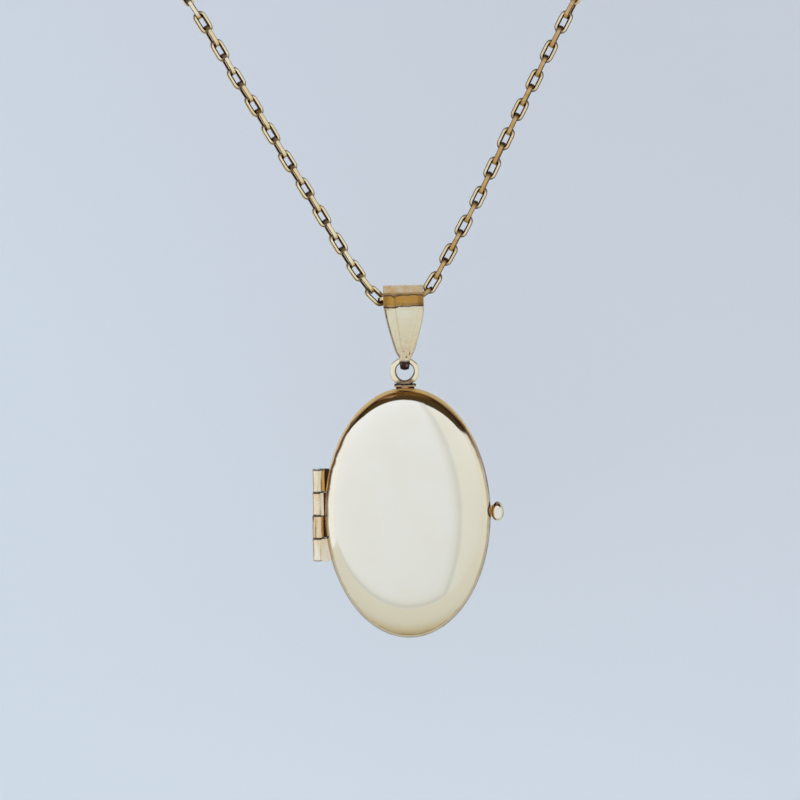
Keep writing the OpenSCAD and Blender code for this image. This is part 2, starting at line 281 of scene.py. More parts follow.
CARD, WINDOW, STEEL = card_material(), window_material(), steel_material()


# ---------------------------------------------------------------- meshes
def dress_node(node, mat, angle=30):
    """Gives one of the CAD's own meshes its material, its shape untouched."""
    obj = frame["nodes"][node]
    obj.data.materials.clear()
    obj.data.materials.append(mat)
    smooth_by_angle(obj.data, angle)


def smooth_by_angle(mesh, angle):
    mesh.polygons.foreach_set("use_smooth", [True] * len(mesh.polygons))
    if hasattr(mesh, "set_sharp_from_angle"):
        mesh.set_sharp_from_angle(angle=math.radians(angle))


def piece(name, verts, faces, body, mat, stands_for=(), angle=180, shade_and_dirt=None, amber=None):
    """A mesh given in millimetres, riding on a CAD body."""
    mesh = bpy.data.meshes.new(name)
    mesh.from_pydata([Vector(v) * MM for v in verts], [], faces)
    # Per-vertex or per-face strengths of the dark and amber marks, mostly painted shade and reflection.
    for painted_mark, values in (("shade_and_dirt", shade_and_dirt), ("amber", amber)):
        if values:
            domain = "FACE" if len(values) == len(mesh.polygons) else "POINT"
            mesh.attributes.new(painted_mark, "FLOAT", domain).data.foreach_set("value", values)
    mesh.validate()
    mesh.materials.append(mat)
    smooth_by_angle(mesh, angle)
    obj = bpy.data.objects.new(name, mesh)
    bpy.context.scene.collection.objects.link(obj)
    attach(obj, body)
    if stands_for:
        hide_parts(*stands_for)
    return obj


def ramp(value, low, high):
    """0 at low, 1 at high, straight between."""
    return min(max((value - low) / (high - low), 0.0), 1.0)


def speck(x, y, z):
    """Smooth noise at a point."""
    return noise.noise(Vector((x, y, z)))


def squared(value, power):
    """A cosine or sine raised to a power with its sign kept, which squares a round section off."""
    return abs(value) ** power * (1 if value >= 0 else -1)


def grid_faces(rows, cols, wrap_rows=False, wrap_cols=True, offset=0):
    """Quads between neighbouring points of a grid, which may close on itself either way."""
    faces = []
    for i in range(rows if wrap_rows else rows - 1):
        for j in range(cols if wrap_cols else cols - 1):
            a, b = i * cols + j, i * cols + (j + 1) % cols
            c, d = ((i + 1) % rows) * cols + (j + 1) % cols, ((i + 1) % rows) * cols + j
            faces.append([offset + k for k in (a, b, c, d)])
    return faces


# ---------------------------------------------------------------- case halves
def half_profile(a, b, d, steps, start_y):
    """Section of a domed half from near the rim to its middle, as width, height and depth."""
    rows = []
    for i in range(steps + 1):
        t = math.pi / 2 * i / steps
        r, y = max(math.cos(t), 0) ** (2 / POWER), d * math.sin(t) ** (2 / POWER)
        if y > start_y:
            rows.append((a * r, b * r, y))
    return rows


def shell(name, side, body, node):
    """One case half with its rolled rim. side is 1 for the back and -1 for the cover."""
    seg = 256
    outer = half_profile(HALF_WIDE, HALF_HIGH, DEPTH, 60, 0.14)
    inner = half_profile(IN_WIDE, IN_HIGH, DEPTH - WALL, 36, 0.16)
    rim = [
        (IN_WIDE, IN_HIGH, GAP + 0.1), (IN_WIDE + 0.01, IN_HIGH + 0.01, GAP),
        (HALF_WIDE - 0.09, HALF_HIGH - 0.09, GAP), (HALF_WIDE - 0.045, HALF_HIGH - 0.045, GAP + 0.02),
        (HALF_WIDE - 0.012, HALF_HIGH - 0.012, GAP + 0.055), (HALF_WIDE, HALF_HIGH, GAP + 0.1),
    ]
    rows = inner[::-1][1:] + rim + outer[:-1]
    verts = []
    for w, h, y in rows:
        for j in range(seg):
            t = 2 * math.pi * j / seg
            verts.append((w * math.cos(t), side * y, CASE_Z + h * math.sin(t)))
    faces = grid_faces(len(rows), seg)
    if side > 0:
        faces = [f[::-1] for f in faces]
    inner_pole, outer_pole = len(verts), len(verts) + 1
    verts += [(0, side * (DEPTH - WALL), CASE_Z), (0, side * DEPTH, CASE_Z)]
    last = (len(rows) - 1) * seg
    for j in range(seg):
        k = (j + 1) % seg
        ends = [[inner_pole, k, j], [outer_pole, last + j, last + k]]
        faces += [e if side < 0 else e[::-1] for e in ends]
    return piece(name, verts, faces, body, CASE_GOLD, (node,))


shell("back_half", 1, "locket_back", "back_case")
cover_shell = shell("cover_dome", -1, "cover", "front_cover")


def cut_notch():
    """Fingernail notch beside the catch bead."""
    verts, seg, radius, middle = [], 64, 1.08, HALF_WIDE + 0.75
    for y in (-0.95, 0.5):
        for j in range(seg):
            t = 2 * math.pi * j / seg
            x, z = middle + radius * math.cos(t), CASE_Z + radius * math.sin(t)
            verts.append((x * MM, y * MM, z * MM))
    faces = grid_faces(2, seg) + [list(range(seg))[::-1], list(range(seg, 2 * seg))]
    mesh = bpy.data.meshes.new("notch_tool")
    mesh.from_pydata(verts, [], faces)
    tool = bpy.data.objects.new("notch_tool", mesh)
    bpy.context.scene.collection.objects.link(tool)
    cut = cover_shell.modifiers.new("notch", "BOOLEAN")
    cut.operation, cut.object, cut.solver = "DIFFERENCE", tool, "EXACT"
    bpy.context.view_layer.update()
    graph = bpy.context.evaluated_depsgraph_get()
    made = bpy.data.meshes.new_from_object(cover_shell.evaluated_get(graph), depsgraph=graph)
    cover_shell.modifiers.clear()
    cover_shell.data = made
    smooth_by_angle(made, 40)
    bpy.data.objects.remove(tool)


cut_notch()


# ---------------------------------------------------------------- eye ring
def make_eye_ring():
    """Hand-bent ring, a little six-sided outside, squashed where it meets its foot, with painted shade
    inside, round its outer edge and low down by its foot.
    """
    seg, sides, mid, wire = 144, 32, 1.37, 0.32
    verts, shade_and_dirt, amber = [], [], []
    for i in range(seg):
        t = 2 * math.pi * i / seg
        side = (t + math.pi / 6) % (math.pi / 3) - math.pi / 6
        outer = 0.03 + 0.5 * (1 / math.cos(side) - 1) - 0.05 * math.cos(t)
        inner = 0.03 * math.sin(3 * t + 0.6)
        low = ramp(-math.sin(t), 0.66, 0.86)
        for j in range(sides):
            s = 2 * math.pi * j / sides
            c, k = squared(math.cos(s), 0.62), squared(math.sin(s), 0.62)
            r = mid + wire * c + c * (outer if c > 0 else -inner)
            verts.append((r * math.cos(t), wire * k, EYE_Z + max(r * math.sin(t), -1.66)))
            # Painted shade on the inner side, the outer edge and the low part by the foot, with amber painted
            # shade low down.
            shade_and_dirt.append(max(ramp(-c, 0.45, 0.85), 0.7 * ramp(c, 0.88, 0.99), 0.75 * low))
            amber.append(0.5 * low)
    faces = grid_faces(seg, sides, wrap_rows=True)
    piece(
        "eye_ring_wire", verts, faces, "locket_back", RING_GOLD, ("eye_ring",),
        shade_and_dirt=shade_and_dirt, amber=amber,
    )


make_eye_ring()


def rounded_box(low, high, soft, steps=3):
    """A box with rounded edges, as a lofted grid."""
    cx, cy, cz = [(a + b) / 2 for a, b in zip(low, high)]
    hx, hy, hz = [(b - a) / 2 for a, b in zip(low, high)]
    rows = []
    for k in range(steps + 1):
        a = math.pi / 2 * k / steps
        rows.append((soft * (1 - math.sin(a)), -hz + soft * (1 - math.cos(a))))
    rows += [(s, -z) for s, z in rows[::-1]]
    verts, per = [], 4 * (steps + 1)
    for inset, z in rows:
        x, y = hx - inset, hy - inset
        r = min(soft, x, y)
        for q, (sx, sy) in enumerate(((1, 1), (-1, 1), (-1, -1), (1, -1))):
            for k in range(steps + 1):
                a = math.pi / 2 * (q + k / steps)
                px = cx + sx * (x - r) + r * math.cos(a)
                py = cy + sy * (y - r) + r * math.sin(a)
                verts.append((px, py, cz + z))
    faces = grid_faces(len(rows), per)
    faces += [list(range(per))[::-1], list(range(len(verts) - per, len(verts)))]
    return verts, faces


# ---------------------------------------------------------------- hinge
def tube_knuckle(name, n, side, body, node):
    """Knuckle n from the top, worn uneven, with its leaf. side is 1 on the back half, -1 on the cover."""
    pitch, gap, r, hole = 2.8, 0.08, 0.75, 0.3 if side > 0 else 0.34
    inward, outward = ((0.40, -0.22), (0.14, -0.14), (0.06, 0.0), (0.30, 0.03))[n]
    z0 = CASE_Z + (1 - n) * pitch + gap / 2
    length = pitch - gap
    seg, rows = 64, 30
    stations = [(hole, 0.0), (r - 0.1, 0.0), (r - 0.03, 0.03), (r, 0.1)]
    stations += [(r, 0.1 + (length - 0.2) * k / rows) for k in range(1, rows)]
    stations += [(r, length - 0.1), (r - 0.03, length - 0.03), (r - 0.1, length), (hole, length)]
    verts, shade_and_dirt, amber = [], [], []
    for rr, z in stations:
        for j in range(seg):
            t = 2 * math.pi * j / seg
            c, reach = math.cos(t), rr
            if rr > hole:
                waist = 0.05 * (1 - abs(2 * z / length - 1) ** 3) * abs(c)
                dents = 0.05 * abs(speck(1.7 * c + n * 3, 1.7 * math.sin(t), (z0 + z) * 0.7))
                reach = rr * (1 + (inward if c > 0 else outward) * c * c) - dents - waist
            verts.append((HINGE_X + reach * c, (rr if rr == hole else rr - 0.03) * math.sin(t), z0 + z))
            # Painted shade at the ends by the gaps, on the side against the case and along the outer edge,
            # with streaks from noise; amber painted shade per knuckle, in streaks and on the outer side.
            ends = 1 - ramp(min(z, length - z), 0.03, 0.15)
            edges = max(ramp(c, 0.9, 0.97), 0.85 * ramp(-c, 0.86, 0.95) * ramp(z, 0.2, 0.5))
            grain = speck(3.1 * t, n * 5.3, z * 0.45)
            streak = 0.7 * ramp(grain, 0.22, 0.42) * ramp(abs(c), 0.2, 0.5)
            shade_and_dirt.append(max(ends, edges, streak))
            warm = (0.05, 0.25, 0.2, 0.05)[n]
            amber.append(warm + 0.3 * ramp(grain, -0.05, 0.3) + 0.3 * ramp(-c, 0.6, 0.9))
    faces = grid_faces(len(stations), seg, wrap_rows=True)
    y0, y1 = (0.05, 0.62) if side > 0 else (-0.62, -0.05)
    base, slices = len(verts), 8
    for k in range(slices + 1):
        z = z0 + length * k / slices
        reach = -HALF_WIDE * math.sqrt(max(1 - ((z - CASE_Z) / HALF_HIGH) ** 2, 0)) + 0.08
        loop = [(-10.5, y0), (-10.12, y0), (-10.04, y0), (reach, y0), (reach, y1), (-10.5, y1)]
        for x, y in loop:
            verts.append((x, y, z))
            # The leaf is painted dark as shade between the knuckles, except on the lowest knuckle and the
            # outer strip of the second.
            shade_and_dirt.append(0.1 if n == 3 or (n == 1 and x < -10.1) else 1.25)
            amber.append(0.15)
    per = len(loop)
    faces += grid_faces(slices + 1, per, offset=base)
    faces += [[base + k for k in range(per)][::-1], [base + per * slices + k for k in range(per)]]
    # On the back half, a dark block between the knuckle and the case edge, painted shade.
    if side > 0:
        reach = -HALF_WIDE * math.sqrt(1 - ((z0 + length / 2 - CASE_Z) / HALF_HIGH) ** 2)
        low = z0 - 0.06
        high = z0 + length + (0.06 if n else 0)
        more, more_faces = rounded_box((-9.98, 0.1, low), (reach + 0.1, 0.5, high), 0.02)
        faces += [[len(verts) + i for i in f] for f in more_faces]
        verts += more
        shade_and_dirt += [1.25] * len(more)
        amber += [0.2] * len(more)
    piece(name, verts, faces, body, HINGE_GOLD, (node,), angle=35, shade_and_dirt=shade_and_dirt, amber=amber)


tube_knuckle("hinge_knuckle_1", 0, 1, "locket_back", "case_knuckle_upper")
tube_knuckle("hinge_knuckle_2", 1, -1, "cover", "cover_knuckle_upper")
tube_knuckle("hinge_knuckle_3", 2, 1, "locket_back", "case_knuckle_lower")
tube_knuckle("hinge_knuckle_4", 3, -1, "cover", "cover_knuckle_lower")


# ---------------------------------------------------------------- bail
def bail_width(z):
    """Half width of the bail at a height, in millimetres."""
    marks = [(3, 2.4), (-1.3, 2.4), (-2.6, 2.2), (-4.5, 1.72), (-6.3, 1.22), (-7.3, 0.64), (-9, 0.6)]
    for (z1, w1), (z2, w2) in zip(marks, marks[1:]):
        if z <= z1 and z >= z2:
            return w1 + (w2 - w1) * (z1 - z) / (z1 - z2)
    return marks[-1][1]


def rounded_path(rounds):
    """Closed path round a ring of circles: y, z and outward direction of each point."""
    sides, points = [], []
    for (ay, az, ar), (by, bz, br) in zip(rounds, rounds[1:] + rounds[:1]):
        dy, dz = by - ay, bz - az
        far = math.hypot(dy, dz)
        s = (ar - br) / far
        c = math.sqrt(1 - s * s)
        sides.append(((dz * c + dy * s) / far, (dz * s - dy * c) / far, far * c))
    for k, (y, z, r) in enumerate(rounds):
        (iy, iz, _), (oy, oz, run) = sides[k - 1], sides[k]
        a0, a1 = math.atan2(iz, iy), math.atan2(oz, oy)
        a1 += 2 * math.pi if a1 < a0 else 0
        steps = max(3, round((a1 - a0) / math.radians(4)))
        for i in range(steps + 1):
            a = a0 + (a1 - a0) * i / steps
            points.append((y + r * math.cos(a), z + r * math.sin(a), math.cos(a), math.sin(a)))
        steps = round(run / 0.07)
        y, z = points[-1][:2]
        points += [(y - oz * run * i / steps, z + oy * run * i / steps, oy, oz) for i in range(1, steps)]
    return points


def bail_section(z, ny):
    """Half outline of the strip across the front at this height: x, height above the inner face, and painted
    shade at its edges and grooves.
    """
    w = bail_width(z)
    ease = max(0.0, -ny) * ramp(-z, 0.8, 1.2) * ramp(z, -7.5, -6.9)
    left, edge, soft = w - 0.3 * ease, BAIL_WALL - 0.2 * ease, 0.05
    right_crest = min(1.85 + (0.62 - 1.85) * ramp(-z, 1.1, 6.9), w * 0.8)
    left_crest = min(0.95 + (0.25 - 0.95) * ramp(-z, 1.3, 6.5), w * 0.6)
    dish, groove = 0.06 * ease, BAIL_WALL - 0.05 * ease
    facet = (edge + BAIL_WALL) / 2 + dish
    # Each key's third value is painted shade at the strip's edges and grooves.
    keys = [
        (-left + soft, 0, 0.2), (-left, soft, 0.6), (-left, edge - soft, 0.6),
        (-left + soft, edge, 0.4 * ease), (-left + 0.13, edge + 0.03 * ease, 0),
        (-(left + left_crest) / 2, facet, 0), (-left_crest - 0.09, BAIL_WALL, 0),
        (-left_crest, groove, 0.3 * ease), (-left_crest + 0.09, BAIL_WALL, 0),
        ((right_crest - left_crest) / 2, BAIL_WALL - dish, 0),
        (right_crest - 0.09, BAIL_WALL, 0), (right_crest, groove, 0.18 * ease),
        (right_crest + 0.07, BAIL_WALL, 0), ((w + right_crest) / 2, facet, 0),
        (w - 0.13, edge + 0.03 * ease, 0), (w - soft, edge, 0.4 * ease), (w, edge - soft, 0.6),
        (w, soft, 0.6), (w - soft, 0, 0.2),
    ]
    row = []
    for a, b in zip(keys, keys[1:]):
        row += [tuple(p + (q - p) * k / 6 for p, q in zip(a, b)) for k in range(6)]
    return row + [keys[-1]]


def make_bail():
    """Folded strip: facets down the front leaf, a painted amber reflection band across the shoulder, and
    painted shade on its end through the ring.
    """
    rounds = [
        (2.1, -0.75, 0.05), (0.8, -0.03, 0.68), (0, 0.47, 0.68),
        (-0.8, -0.03, 0.68), (-2.1, -0.75, 0.05), (0, -7.55, 0.46),
    ]
    verts, shade_and_dirt, amber, cols = [], [], [], 0
    for y, z, ny, nz in rounded_path(rounds):
        row = bail_section(z + nz * 0.21, ny)
        cols = len(row)
        end = ramp(-nz, 0.2, 0.9) if z < -7.4 else 0.0
        for x, h, edge_shade in row:
            h *= 1 + 0.5 * end * (1 - ramp(abs(x), 0.25, 0.6) * 0.6)
            px, py, pz = x * (1 - 0.14 * end), y + ny * h, z + nz * h
            wander = 0.10 * speck(x * 0.9, 0.4, 2.0) + 0.05 * speck(x * 3.0, 1.4, 0.0)
            front = ramp(-ny, 0.1, 0.3)
            hump, dip = math.exp(-(((x - 0.3) / 0.9) ** 2)), math.exp(-(((x + 1.15) / 0.2) ** 2))
            upper = 0.50 + wander + 0.10 * hump - 0.16 * dip - pz
            lower = pz + 0.70 - wander * 0.5 + 0.14 * ramp(-x, 0.75, 0.95)
            # The shoulder band below the fold is a painted amber reflection.
            shoulder = front * ramp(upper, -0.04, 0.06) * ramp(lower, -0.04, 0.08)
            # Painted shade lines along the band's top and bottom edges.
            top_crease = 0.8 * (1 - ramp(abs(upper), 0.02, 0.10))
            creases = max(top_crease, 0.95 * (1 - ramp(abs(lower), 0.04, 0.13)))
            pits = 0.9 * ramp(speck(x * 4.2, pz * 3.1, 7.0), 0.38, 0.5) * ramp(-pz, 5.6, 6.6) * front
            # Amber painted reflection over the top of the fold.
            fold = ramp(pz, 0.3, 0.7) * (0.5 + 0.5 * speck(x * 1.1, pz, 3.0))
            # Painted shade on the band: toward its ends, at a line left of the middle and toward its lower
            # edge.
            side, seam = 0.35 * ramp(abs(x + 0.1), 1.5, 2.1), 0.4 * ramp(0.22 - abs(x + 1.05), 0, 0.22)
            shoulder_shade = shoulder * (side + seam + 0.45 * ramp(-lower, -0.5, -0.1))
            # Painted shade on the end that goes through the eye ring.
            tongue = ramp(-pz, 7.25, 7.55)
            handled = ramp(-pz, 3.6, 6.9) * front * (0.8 + 0.7 * speck(x * 2.2, pz * 1.6, 4.0))
            verts.append((px, py, pz))
            shade_and_dirt.append(max(edge_shade, tongue, creases * front, pits, shoulder_shade, 0.16 * handled))
            amber.append(max(shoulder, fold, 0.6 * ramp(edge_shade, 0.4, 0.6) * front, pits, 0.34 * handled))
    faces = [f[::-1] for f in grid_faces(len(verts) // cols, cols, wrap_rows=True)]
    piece(
        "bail_strip", verts, faces, "hanging_bail", BAIL_GOLD, ("bail",), angle=28,
        shade_and_dirt=shade_and_dirt, amber=amber,
    )


make_bail()


# ---------------------------------------------------------------- catch and eye foot
def merged(*parts):
    """Several parts' vertices and faces as one."""
    verts, faces = [], []
    for v, f in parts:
        faces += [[len(verts) + i for i in face] for face in f]
        verts += v
    return verts, faces


def make_eye_saddle():
    """Foot of the eye ring on the back half's rim: a plate, its neck, and a dark block round the neck that is
    painted shade.
    """
    top = CASE_Z + HALF_HIGH
    saddle = rounded_box((-1.3, -0.42, top + 0.16), (1.3, 0.42, top + 0.52), 0.1)
    neck = rounded_box((-0.4, 0.07, top - 0.12), (0.4, 0.42, top + 0.2), 0.05)
    shade_block = rounded_box((-1.1, 0.11, top - 0.16), (1.1, 0.4, top + 0.22), 0.05)
    verts, faces = merged(saddle, neck, shade_block)
    # Painted shade on the plate's top under the ring and at its ends; the block round the neck is all painted
    # shade.
    shade_and_dirt = [max(ramp(z, top + 0.32, top + 0.4), 0.7 * ramp(abs(x), 1.1, 1.28), 0.1) for x, _, z in saddle[0]]
    shade_and_dirt += [0.1] * len(neck[0]) + [1.2] * len(shade_block[0])
    amber = [0.35] * len(saddle[0]) + [0.6] * len(neck[0]) + [0.0] * len(shade_block[0])
    piece(
        "eye_saddle", verts, faces, "locket_back", HINGE_GOLD, ("eye_foot",), angle=50,
        shade_and_dirt=shade_and_dirt, amber=amber,
    )


make_eye_saddle()


def make_bead():
    """Egg-shaped thumb bead with a flattened face, painted shade on the side against the case and round its
    upper right outline.
    """
    r, half, seg, rows = 0.76, 1.2, 48, 32
    verts, shade_and_dirt, amber = [], [], []
    for i in range(rows + 1):
        p = math.pi * i / rows
        for j in range(seg):
            t = 2 * math.pi * j / seg
            z = math.cos(p)
            wide = math.sin(p) * (1 - 0.12 * z)
            x, y = wide * math.cos(t), max(wide * math.sin(t), -0.78)
            verts.append((HALF_WIDE + 0.06 + r + r * x * 0.97, r * y, CASE_Z + half * z))
            # Painted shade on the side against the case and round the upper right outline; amber on the side
            # against the case.
            outline = 0.8 * ramp(math.hypot(x, z), 0.88, 0.98) * ramp(x + z, -0.3, 0.4)
            shade_and_dirt.append(max(0.5 * ramp(-x, 0.86, 0.98), outline))
            amber.append(ramp(-x, 0.5, 0.75))
    piece(
        "catch_bead_face", verts, grid_faces(rows + 1, seg), "locket_back", POLISHED,
        ("catch_bead",), angle=40, shade_and_dirt=shade_and_dirt, amber=amber,
    )


make_bead()


# ---------------------------------------------------------------- chain
# The strands' routes from the bail's fold to the cut ends, as x and z.
RIGHT = [
    (0, 0), (1.4, -0.1), (2.5, 0.45), (3.5, 1.7), (5.4, 4.95), (7.3, 8.35), (9.1, 11.7), (10.8, 15.1),
    (12.5, 18.6), (14.2, 22), (16, 25.4), (17.8, 28.9), (19.6, 32.3), (21.3, 35.4), (22.9, 38.4),
]
LEFT = [
    (0, 0), (-1.6, -0.1), (-2.7, -0.2), (-3.7, 0.8), (-5.8, 3.7), (-7.8, 7), (-9.7, 10.3),
    (-11.6, 13.6), (-13.6, 16.9), (-15.5, 20.2), (-17.4, 23.5), (-19.4, 26.8), (-21.3, 30.2),
    (-23.2, 33.5), (-25, 36.4), (-26.6, 38.9),
]


def fine_route(marks):
    """The route through the marks as one smooth line of close points."""
    pts = [Vector((x, 0, z)) for x, z in marks]
    pts = [2 * pts[0] - pts[1]] + pts + [2 * pts[-1] - pts[-2]]
    line = []
    for a, b, c, d in zip(pts, pts[1:], pts[2:], pts[3:]):
        for k in range(20):
            t = k / 20
            bend, swerve = 2 * a - 5 * b + 4 * c - d, 3 * b - a - 3 * c + d
            line.append(0.5 * (2 * b + (c - a) * t + bend * t * t + swerve * t ** 3))
    line.append(pts[-2])
    return line


def at_length(line, want):
    """The point at a length along a line, or straight on past its end."""
    gone = 0.0
    for p, q in zip(line, line[1:]):
        step = (q - p).length
        if gone + step >= want:
            f = (want - gone) / step
            return p + (q - p) * f
        gone += step
    return line[-1] + (line[-1] - line[-2]).normalized() * (want - gone)


def line_length(line):
    return sum((q - p).length for p, q in zip(line, line[1:]))


def link_mesh(length, width, wire, depth):
    """One oval link in its own plane (x along, y across), its wire cut to eight facets, with painted shade
    inside, on the facet edges and at the ends where links meet.
    """
    b = width / 2 - wire
    straight = length / 2 - wire - b
    seg_arc, centre = 10, []
    for side in (1, -1):
        for k in range(seg_arc + 1):
            t = -math.pi / 2 + math.pi * k / seg_arc
            c, k = side * math.cos(t), side * math.sin(t)
            centre.append((side * straight + b * c, b * k, c, k))
    section = [(1, 0.72), (0.64, 1), (-0.3, 1), (-1, 0.5), (-1, -0.5), (-0.3, -1), (0.64, -1), (1, -0.72)]
    verts = [(x + nx * wire * c, y + ny * wire * c, depth * k) for x, y, nx, ny in centre for c, k in section]
    faces = grid_faces(len(centre), len(section), wrap_rows=True)
    shade_and_dirt, amber = [], []
    for f in faces:
        x, y, z = (sum(verts[i][a] for i in f) / 4 for a in range(3))
        axis = math.hypot(max(abs(x) - straight, 0), y)
        out = (axis - b) / wire
        end = ramp(abs(x), straight + 0.35 * b, straight + b)
        bevel = ramp(out, 0.3, 0.55) * ramp(-out, -0.95, -0.8)
        side = ramp(-out, -0.95, -0.5)
        tip = ramp(x, straight + 0.5 * b, straight + 1.3 * b)
        # Painted shade: inner side, bevels between facets, sides at the ends and tips where links meet; amber
        # on the bevels and ends.
        shade_and_dirt.append(max(1.2 * ramp(-out, 0.25, 0.6), bevel, 0.8 * end * side, 1.1 * tip))
        amber.append(0.45 * bevel + 0.2 * end + 0.1)
    return verts, faces, shade_and_dirt, amber


def strand(marks, phase, roll, first, tint):
    """Links along a route, each a quarter turn on from its neighbour.

    The last few twist a quarter turn more, and the last is longer, so that the jump ring goes through it.
    """
    line = fine_route(marks)
    pitch, long, wide, wire, depth = 1.92, 2.9, 1.56, 0.245, 0.27
    unit, unit_faces, unit_shade_and_dirt, unit_amber = link_mesh(long, wide, wire, depth)
    verts, faces, shade_and_dirt, amber = [], [], [], []
    total, reach, inset = line_length(line), 0.9, 0.33
    # A link takes its direction from the route within reach of its centre, so the last starts that far
    # from the end. It keeps its near tip and is stretched to hold the jump ring: its far tip comes where
    # that of a usual link centred inset before the end would be.
    last = math.floor((total - reach - phase) / pitch)
    longer = total - inset - (phase + last * pitch)
    end_link = link_mesh(long + longer, wide, wire, depth)[0]
    for n in range(math.ceil((first - phase) / pitch), last + 1):
        s = phase + n * pitch
        centre = at_length(line, s)
        ahead = (at_length(line, s + reach) - at_length(line, s - reach if s > reach else 0)).normalized()
        up = Vector((0, -1, 0))
        across = ahead.cross(up).normalized()
        wobble = 5 * noise.noise(Vector((s * 0.37, phase, 1.3)))
        twist = 90 * ramp(s, total - 5.5, total - 1.2)
        turn = math.radians(roll * (1 - twist / 90) + wobble + twist + (90 if n % 2 else 0))
        wide_way = across * math.cos(turn) + up * math.sin(turn)
        deep_way = ahead.cross(wide_way)
        base = len(verts)
        shape = unit
        if n == last:
            shape, centre = end_link, centre + ahead * longer / 2
        verts += [centre + ahead * x + wide_way * y + deep_way * z for x, y, z in shape]
        faces += [[base + i for i in f] for f in unit_faces]
        # Painted amber shade by tint: full on the links seen edge-on, a quarter on the others.
        amber_light_and_film = tint if n % 2 else 0.25 * tint
        shade_and_dirt += [g + 0.4 * amber_light_and_film for g in unit_shade_and_dirt]
        amber += [a + amber_light_and_film for a in unit_amber]
    return verts, faces, shade_and_dirt, amber, line


def hang_chain(name, marks, phase, roll, first, tint):
    """Makes one strand a piece on the neck chain. Returns it with its route."""
    verts, faces, shade_and_dirt, amber, line = strand(marks, phase, roll, first, tint)
    obj = piece(
        name, verts, faces, "neck_chain", CHAIN_GOLD, ("chain",), angle=30,
        shade_and_dirt=shade_and_dirt, amber=amber,
    )
    return obj, line


# tint is painted amber shade on the links, light on the left strand and strong on the right.
left_chain, left_line = hang_chain("chain_left", LEFT, phase=3.55, roll=-20, first=0.6, tint=0.08)
right_chain, right_line = hang_chain("chain_right", RIGHT, phase=4.4, roll=5, first=0.5, tint=0.75)


CLASP = ("clasp_jump_ring", "clasp_body", "clasp_eyelet", "clasp_trigger")

# ---------------------------------------------------------------- carried-over CAD pieces
for node in (*CLASP, "end_jump_ring", "end_tag"):
    dress_node(node, CHAIN_GOLD)
for node in ("inner_bezel", "rear_picture_frame", "front_picture_frame"):
    dress_node(node, SATIN)
for node in ("rear_picture_card", "front_picture_card"):
    dress_node(node, CARD)
for node in ("rear_window", "front_window"):
    dress_node(node, WINDOW)
dress_node("hinge_pin", HINGE_GOLD)
dress_node("catch_stem", STEM_GOLD)
dress_node("clasp_spring", STEEL)


# ---------------------------------------------------------------- stage and light
def flat_plane(name, centre, u, v, mat):
    """A stage plane in metres, reaching u and v to each side of its centre."""
    centre, u, v = Vector(centre), Vector(u), Vector(v)
    mesh = bpy.data.meshes.new(name)
    mesh.from_pydata([centre - u - v, centre + u - v, centre + u + v, centre - u + v], [], [(0, 1, 2, 3)])
    mesh.materials.append(mat)
    obj = bpy.data.objects.new(name, mesh)
    bpy.context.scene.collection.objects.link(obj)


def card_backdrop():
    """Pale upright card behind the locket, clear from behind."""
    mat, nt, bsdf = shader("pale_card")
    bsdf.inputs["Roughness"].default_value = 0.9
    bsdf.inputs["Specular IOR Level"].default_value = 0.1
    where = nt.nodes.new("ShaderNodeTexCoord")
    split = nt.nodes.new("ShaderNodeSeparateXYZ")
    link(nt, where, "Object", split, "Vector")
    # Painted shade: the card darkens and loses blue toward its top right.
    shade_slope = arithmetic(nt, "MULTIPLY_ADD", split.outputs["X"], 0.8, split.outputs["Z"])
    height = span_of(nt, shade_slope, 0, -0.045, 0.055)
    tone = blend_colour(nt, height, (0.945, 0.965, 0.935), (0.885, 0.885, 0.845))
    weave = span_of(nt, fine_noise(nt, 2200, 4), "Fac", 0.3, 0.7, 0.0, 0.06)
    tone = blend_colour(nt, weave, tone, (0.80, 0.80, 0.78))
    nt.links.new(tone.outputs[2], bsdf.inputs["Base Color"])
    side = nt.nodes.new("ShaderNodeNewGeometry")
    clear = nt.nodes.new("ShaderNodeBsdfTransparent")
    mix = nt.nodes.new("ShaderNodeMixShader")
    link(nt, side, "Backfacing", mix, "Fac")
    nt.links.new(bsdf.outputs[0], mix.inputs[1])
    nt.links.new(clear.outputs[0], mix.inputs[2])
    nt.links.new(mix.outputs[0], nt.nodes["Material Output"].inputs["Surface"])
    flat_plane("backdrop", (0, 0.045, 0), (0.6, 0, 0), (0, 0, 0.6), mat)


card_backdrop()


def light_card(name, corners, colours, edge=None, steps=20):
    """A glowing studio card, seen only in reflections, its colour given at each corner and at its edge."""
    mat = bpy.data.materials.new(name)
    mat.use_nodes = True
    nt = mat.node_tree
    glow, shade = nt.nodes.new("ShaderNodeEmission"), nt.nodes.new("ShaderNodeAttribute")
    shade.attribute_name = "glow"
    link(nt, shade, "Color", glow, "Color")
    nt.links.new(glow.outputs[0], nt.nodes["Material Output"].inputs["Surface"])

    def at(values, u, v):
        a, b, c, d = [Vector(x) for x in values]
        return (a * (1 - u) + b * u) * (1 - v) + (d * (1 - u) + c * u) * v

    def tint(u, v):
        inside = ramp(min(u, 1 - u, v, 1 - v), 0, 0.045) if edge else 1
        return at(colours, u, v) * inside + Vector(edge or (0, 0, 0)) * (1 - inside)

    spots = [(i / steps, j / steps) for j in range(steps + 1) for i in range(steps + 1)]
    mesh = bpy.data.meshes.new(name)
    faces = grid_faces(steps + 1, steps + 1, wrap_cols=False)
    mesh.from_pydata([at(corners, u, v) for u, v in spots], [], faces)
    tints = [x for u, v in spots for x in (*tint(u, v), 1.0)]
    mesh.color_attributes.new("glow", "FLOAT_COLOR", "POINT").data.foreach_set("color", tints)
    mesh.materials.append(mat)
    obj = bpy.data.objects.new(name, mesh)
    bpy.context.scene.collection.objects.link(obj)
    obj.visible_camera = False


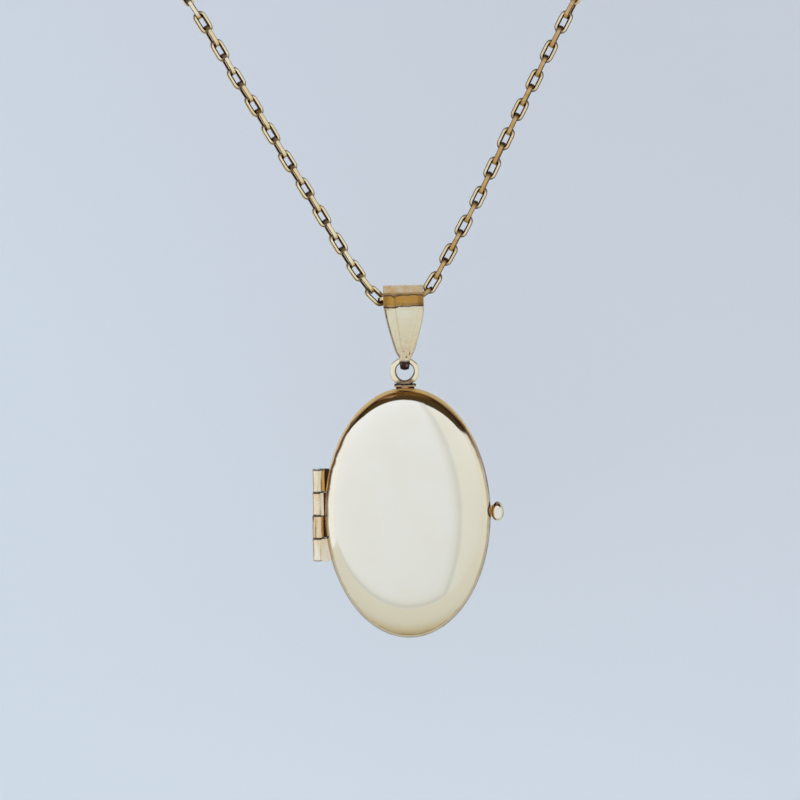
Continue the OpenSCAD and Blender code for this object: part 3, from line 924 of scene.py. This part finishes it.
def world():
    """Room round the object by height: warm floor, pale walls, and a dark ceiling."""
    room = bpy.data.worlds.new("studio")
    bpy.context.scene.world = room
    room.use_nodes = True
    nt = room.node_tree
    back = nt.nodes["Background"]
    where = nt.nodes.new("ShaderNodeTexCoord")
    split = nt.nodes.new("ShaderNodeSeparateXYZ")
    link(nt, where, "Generated", split, "Vector")
    bands = nt.nodes.new("ShaderNodeValToRGB")
    marks = [
        (0.0, (0.43, 0.40, 0.30)), (0.067, (0.56, 0.555, 0.49)), (0.134, (0.635, 0.68, 0.71)),
        (0.2, (0.67, 0.73, 0.78)), (0.3, (0.70, 0.76, 0.82)), (0.45, (0.77, 0.82, 0.88)),
        (0.69, (0.79, 0.84, 0.91)), (0.703, (0.05, 0.035, 0.02)), (0.9, (0.07, 0.045, 0.02)),
        (0.985, (0.15, 0.09, 0.035)), (1.0, (0.22, 0.14, 0.05)),
    ]
    link(nt, span_of(nt, split, "Z", -1.0, 1.0), "Result", bands, "Fac")
    while len(bands.color_ramp.elements) < len(marks):
        bands.color_ramp.elements.new(0.5)
    for stop, (place, colour) in zip(bands.color_ramp.elements, marks):
        stop.position, stop.color = place, (*colour, 1)
    link(nt, bands, "Color", back, "Color")
    back.inputs["Strength"].default_value = 1.0


world()
light_card(
    "wall_card", [(-1.1, -0.64, -0.40), (1.3, -0.64, -0.40), (1.3, -0.64, 0.47), (-1.1, -0.64, 0.47)],
    [(0.76, 0.84, 0.98), (0.70, 0.75, 0.83), (0.87, 0.96, 1.14), (0.86, 0.97, 1.18)],
)
light_card(
    "frame_card", [(-0.9, -0.63, -0.385), (0.24, -0.63, -0.385), (0.24, -0.63, 0.50), (-0.9, -0.63, 0.72)],
    [(0.60, 0.69, 0.82), (0.60, 0.69, 0.82), (0.78, 0.88, 1.12), (0.80, 0.90, 1.12)],
)
light_card(
    "front_card", [(-0.9, -0.62, -0.345), (0.195, -0.62, -0.345), (0.195, -0.62, 0.50), (-0.9, -0.62, 0.72)],
    [(0.84, 0.95, 1.18), (0.73, 0.84, 1.06), (0.90, 1.03, 1.36), (0.96, 1.06, 1.38)],
    edge=(0.72, 0.80, 0.96),
)
light_card(
    "left_card", [(-0.9, -0.62, -0.345), (-0.9, 0.12, -0.345), (-0.9, 0.12, 0.32), (-0.9, -0.62, 0.72)],
    [(0.88, 0.98, 1.20), (0.92, 1.02, 1.22), (0.92, 1.02, 1.22), (0.94, 1.04, 1.28)],
)
light_card(
    "overhead_card", [(-0.34, -0.07, 0.49), (-0.15, -0.30, 0.49), (-0.10, -0.22, 0.55), (-0.24, -0.05, 0.55)],
    [(0.42, 0.30, 0.24), (0.46, 0.34, 0.28), (0.40, 0.28, 0.22), (0.36, 0.25, 0.18)],
)
light_card(
    "brown_card", [(0.03, -0.30, 0.53), (0.36, -0.20, 0.53), (0.30, 0.0, 0.62), (-0.05, -0.08, 0.66)],
    [(0.20, 0.13, 0.05), (0.12, 0.07, 0.03), (0.26, 0.17, 0.06), (0.28, 0.19, 0.08)],
)
bpy.context.scene.view_settings.view_transform = "Standard"
